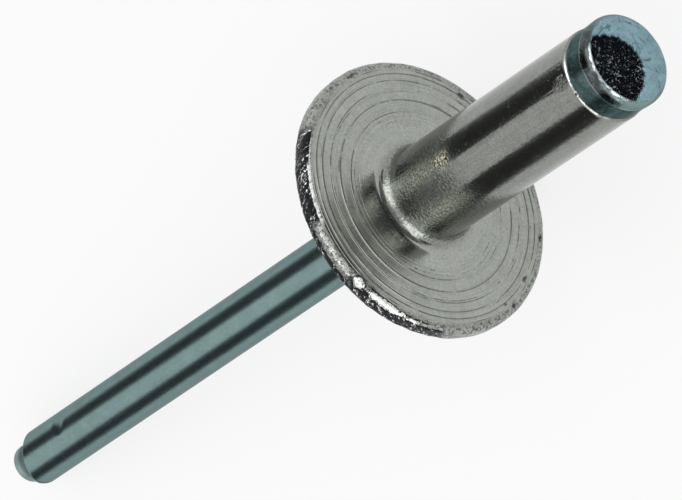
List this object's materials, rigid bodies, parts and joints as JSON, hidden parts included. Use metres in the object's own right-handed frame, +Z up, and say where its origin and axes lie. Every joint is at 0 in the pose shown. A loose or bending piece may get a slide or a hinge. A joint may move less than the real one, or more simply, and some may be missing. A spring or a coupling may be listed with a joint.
{
  "type": "pop rivet",
  "caption": "Unset blind rivet with a wide flat flange, a short tubular aluminium shank and a plated steel pin whose head closes the shank's end.",
  "frame": {"origin": "on the floor under the middle of the whole rivet's box, with the rivet lying at rest on its flange's edge and its pin's tip", "axes": "+X along the rivet towards its head, as seen from above; +Z up. The rivet's own axis lies in the XZ plane, 9.5 degrees up from +X, because the flange holds it off the floor"},
  "size_m": [0.0516, 0.0142, 0.0141],
  "materials": {
    "rivet_body": "bright formed aluminium with fine scratches, concentric forming rings on the flange and a rough sheared rim",
    "mandrel": "drawn steel wire with thin blue-grey zinc plating"
  },
  "bodies": {
    "root": {"rivet_body": "rivet_body", "mandrel": "mandrel"}
  },
  "joints": []
}
